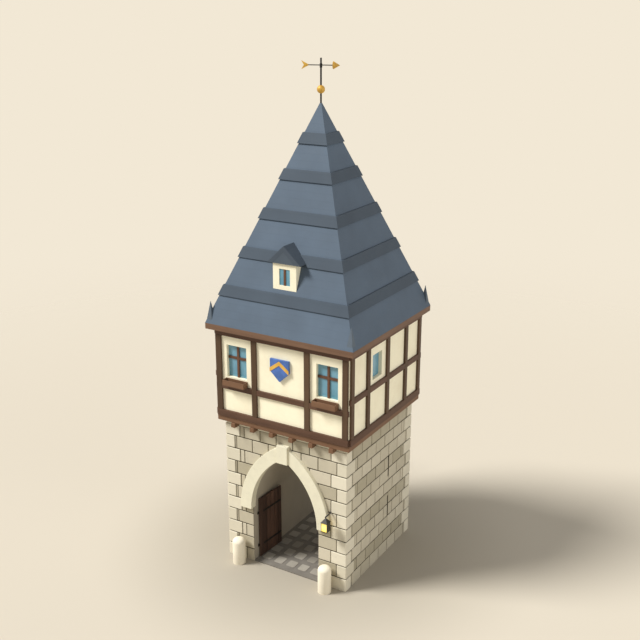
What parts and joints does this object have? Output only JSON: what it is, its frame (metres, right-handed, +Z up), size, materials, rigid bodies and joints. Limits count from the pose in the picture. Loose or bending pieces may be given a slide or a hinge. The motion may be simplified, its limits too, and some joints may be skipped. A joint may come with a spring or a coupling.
{
  "type": "town gatehouse",
  "caption": "Square town gatehouse: stone stage with pointed gate passage and gate leaves, jettied timber-framed storey, steep slate pyramid roof with dormer and weathervane.",
  "frame": {"origin": "on the ground at the middle of the square plan", "axes": "+X to the right along the front, +Y to the back, so the front with the dormer faces -Y, +Z up"},
  "size_m": [5.92, 6.1998, 18.21],
  "materials": {
    "stone": "matt coursed blocks with dark joints",
    "dressed_stone": "smooth pale dressed stone",
    "cobbles": "worn dark cobbles",
    "gate_wood": "dark stained oak boards",
    "iron": "blackened wrought iron",
    "lantern_glass": "lit yellow glass",
    "beam_wood": "reddish brown oiled timber",
    "frame_wood": "dark brown oiled timber",
    "eaves_wood": "mid brown painted timber",
    "floor_wood": "bare floor boards",
    "plaster": "matt lime plaster",
    "window_glass": "blue-grey glass",
    "shield_paint": "satin blue paint",
    "gilding": "aged gilding",
    "slate": "matt blue-grey slates",
    "dark_slate": "matt dark blue-grey slates"
  },
  "bodies": {
    "gatehouse": {"front_stage_wall": "stone", "back_stage_wall": "stone", "left_stage_wall": "stone", "right_stage_wall": "stone", "passage_vault": "stone", "beam_filling": "stone", "arch_rings": "dressed_stone", "keystones": "dressed_stone", "passage_floor": "cobbles", "guard_stones": "dressed_stone", "gate_pintles": "iron", "lantern_bracket": "iron", "lantern_frame": "iron", "lantern_panes": "lantern_glass", "floor_joists": "beam_wood", "jetty_beams": "beam_wood", "upper_floor": "floor_wood", "front_storey_wall": "plaster", "back_storey_wall": "plaster", "left_storey_wall": "plaster", "right_storey_wall": "plaster", "front_timbers": "frame_wood", "back_timbers": "frame_wood", "left_timbers": "frame_wood", "right_timbers": "frame_wood", "window_glass": "window_glass", "flower_boxes": "beam_wood", "shield_plaque": "shield_paint", "shield_chevron": "gilding", "eaves_beams": "eaves_wood", "attic_floor": "floor_wood", "front_roof_slope": "slate", "back_roof_slope": "slate", "left_roof_slope": "slate", "right_roof_slope": "slate", "slate_bands": "dark_slate", "corner_spikes": "dark_slate", "dormer_walls": "plaster", "dormer_roof": "dark_slate", "dormer_gable": "dark_slate", "vane_rod": "iron", "vane_ball": "gilding"},
    "left_gate": {"left_gate_leaf": "gate_wood", "left_gate_ironwork": "iron"},
    "right_gate": {"right_gate_leaf": "gate_wood", "right_gate_ironwork": "iron"},
    "vane": {"vane_arrow": "iron", "vane_gilding": "gilding"}
  },
  "joints": [
    {"name": "left_gate_hinge", "type": "hinge", "parent": "gatehouse", "child": "left_gate", "pos_m": [-1.37, -2.265, 1.2], "axis": [0, 0, 1], "range_deg": [-86, 3]},
    {"name": "right_gate_hinge", "type": "hinge", "parent": "gatehouse", "child": "right_gate", "pos_m": [1.37, -2.265, 1.2], "axis": [0, 0, 1], "range_deg": [-3, 86]},
    {"name": "vane_turn", "type": "hinge", "parent": "gatehouse", "child": "vane", "pos_m": [0, 0, 17.975], "axis": [0, 0, 1], "continuous": true}
  ]
}
